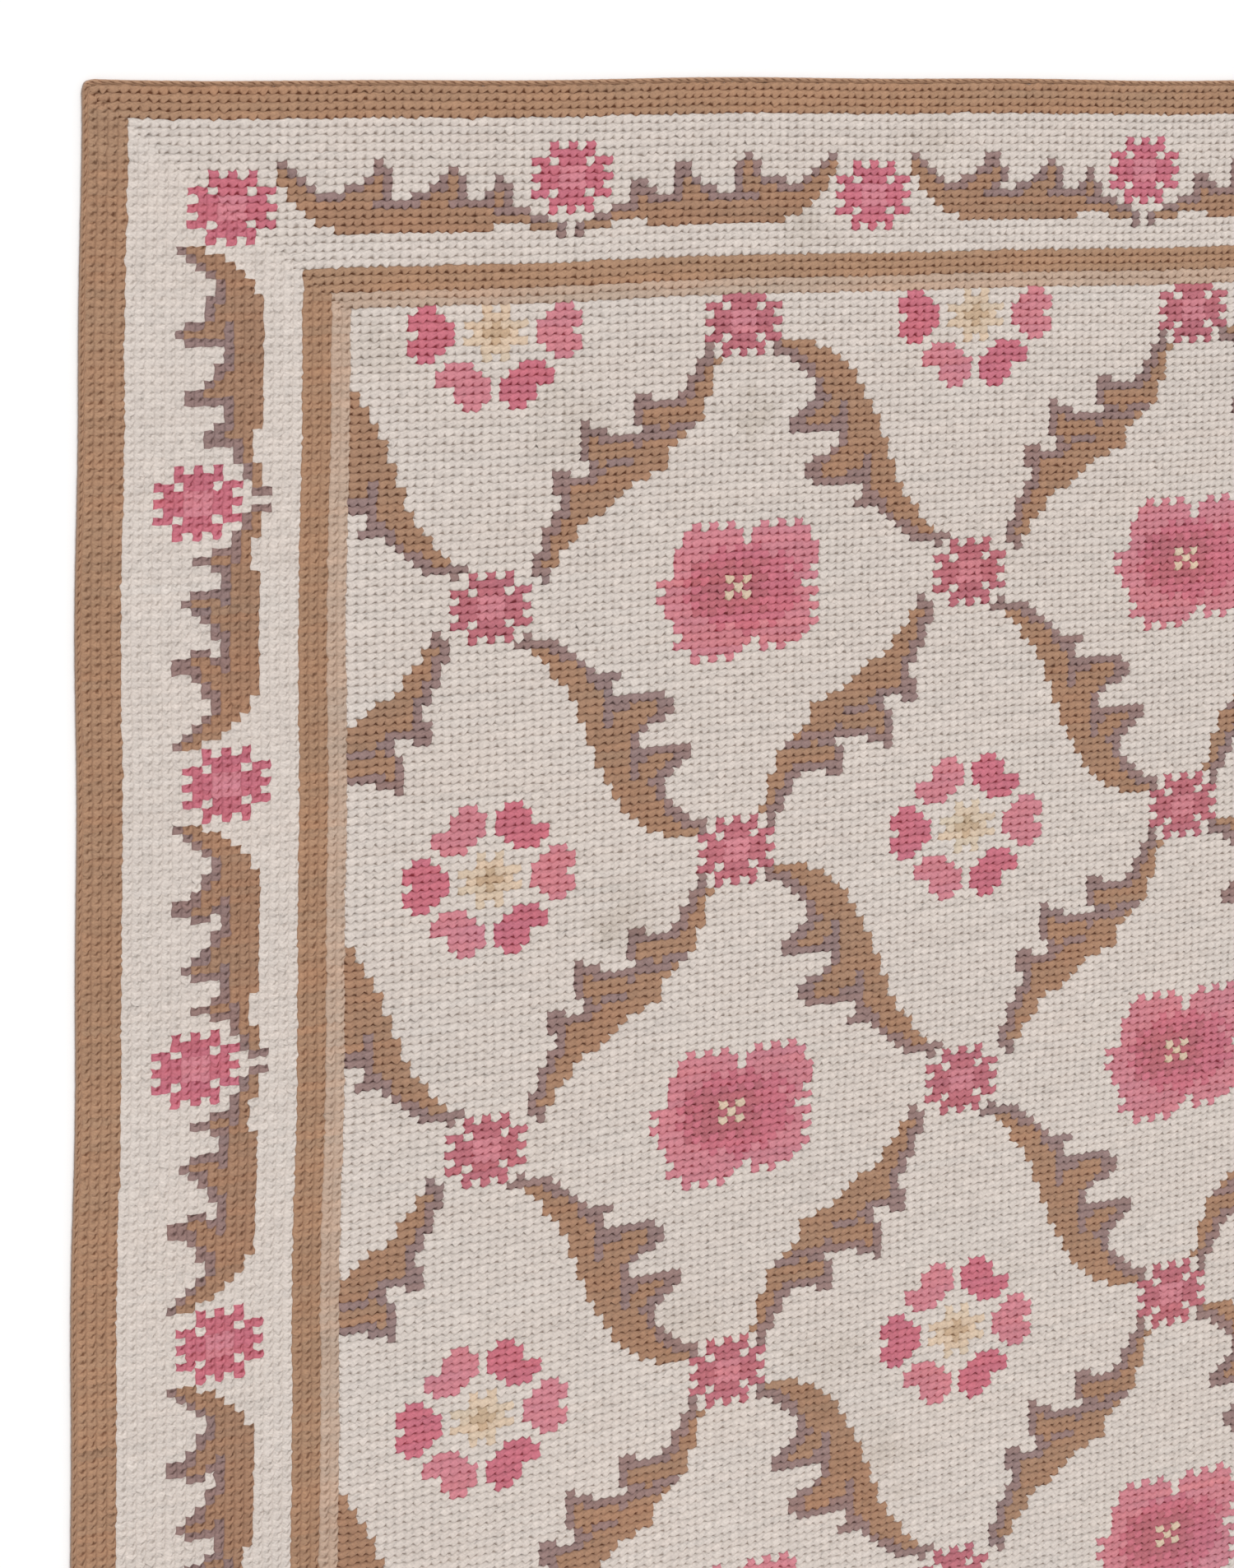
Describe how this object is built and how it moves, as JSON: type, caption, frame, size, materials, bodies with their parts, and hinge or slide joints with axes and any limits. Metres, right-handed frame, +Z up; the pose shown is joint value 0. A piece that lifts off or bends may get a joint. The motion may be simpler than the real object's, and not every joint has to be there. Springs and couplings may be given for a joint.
{
  "type": "chain stitch rug",
  "caption": "Flat wool chain stitch rug with a banded floral border and a lattice of leaves, rosettes and open flowers on a cream ground, edges turned under.",
  "frame": {"origin": "centre of the bounding box at the underside that lies on the floor", "axes": "+Z up through the cloth, +Y along the length towards the end that the picture shows, +X across the width to the right"},
  "size_m": [1.6532, 2.252, 0.0048],
  "materials": {
    "wool_yarn": "matt stitched wool in cream, tan, rose and grey-mauve"
  },
  "bodies": {
    "root": {"rug": "wool_yarn"}
  },
  "joints": []
}
